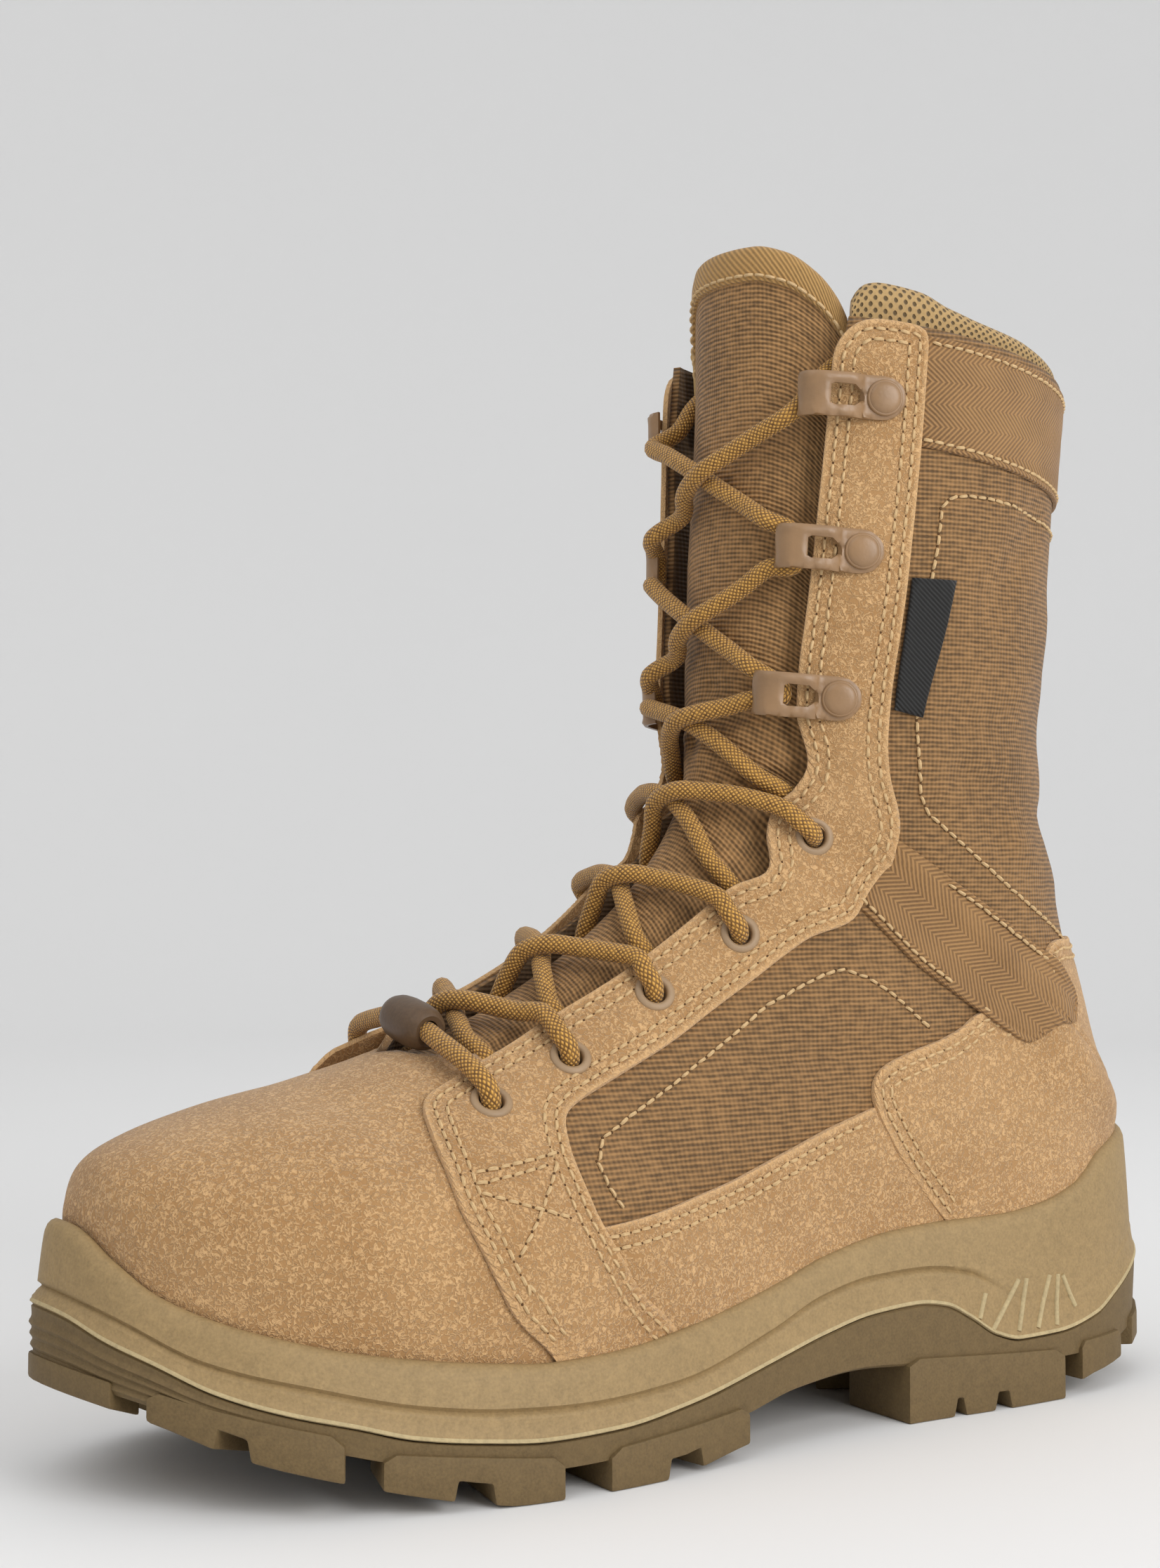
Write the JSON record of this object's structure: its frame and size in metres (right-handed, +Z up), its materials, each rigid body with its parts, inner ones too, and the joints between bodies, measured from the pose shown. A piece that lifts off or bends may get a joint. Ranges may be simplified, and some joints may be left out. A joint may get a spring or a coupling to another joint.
{
  "type": "tactical boot",
  "caption": "Left lace-up tactical boot: hollow last-shaped upper with suede overlays and webbing, padded tongue, eyelets and speed hooks, cup midsole and lugged outsole.",
  "frame": {"origin": "on the floor under the middle of the boot's bounding box", "axes": "+X from heel to toe, +Y to the outer (lateral) side, +Z up"},
  "size_m": [0.305, 0.1144, 0.2886],
  "materials": {
    "outsole_rubber": "matt moulded rubber, brown",
    "moulded_foam": "satin moulded foam, tan",
    "footbed_textile": "dark brushed cloth",
    "woven_nylon": "coarse plain weave, brown",
    "binding_tape": "twill tape, tan",
    "spacer_mesh": "soft mesh, tan",
    "suede": "suede with a short nap, tan",
    "nylon_webbing": "herringbone webbing, brown",
    "woven_label": "plain woven label, black",
    "painted_metal": "brown enamel",
    "braided_cord": "braided cord, golden brown",
    "moulded_bead": "plain dark plastic"
  },
  "bodies": {
    "root": {"outsole": "outsole_rubber", "midsole": "moulded_foam", "insole": "footbed_textile", "upper": "woven_nylon", "tongue": "woven_nylon", "tongue_binding": "binding_tape", "collar_pad": "spacer_mesh", "eyestay_lateral": "suede", "eyestay_medial": "suede", "band_lateral": "suede", "band_medial": "suede", "heel_counter": "suede", "strap_lateral": "nylon_webbing", "strap_medial": "nylon_webbing", "cuff": "nylon_webbing", "side_tag": "woven_label", "eyelet_lateral_1": "painted_metal", "eyelet_lateral_2": "painted_metal", "eyelet_lateral_3": "painted_metal", "eyelet_lateral_4": "painted_metal", "eyelet_lateral_5": "painted_metal", "eyelet_medial_1": "painted_metal", "eyelet_medial_2": "painted_metal", "eyelet_medial_3": "painted_metal", "eyelet_medial_4": "painted_metal", "eyelet_medial_5": "painted_metal", "hook_lateral_1": "painted_metal", "hook_lateral_2": "painted_metal", "hook_lateral_3": "painted_metal", "hook_medial_1": "painted_metal", "hook_medial_2": "painted_metal", "hook_medial_3": "painted_metal", "lace_bar": "braided_cord", "lace_cross_1": "braided_cord", "lace_cross_2": "braided_cord", "lace_cross_3": "braided_cord", "lace_cross_4": "braided_cord", "lace_cross_5": "braided_cord", "lace_cross_6": "braided_cord", "lace_cross_7": "braided_cord", "lace_keeper": "moulded_bead"}
  },
  "joints": []
}
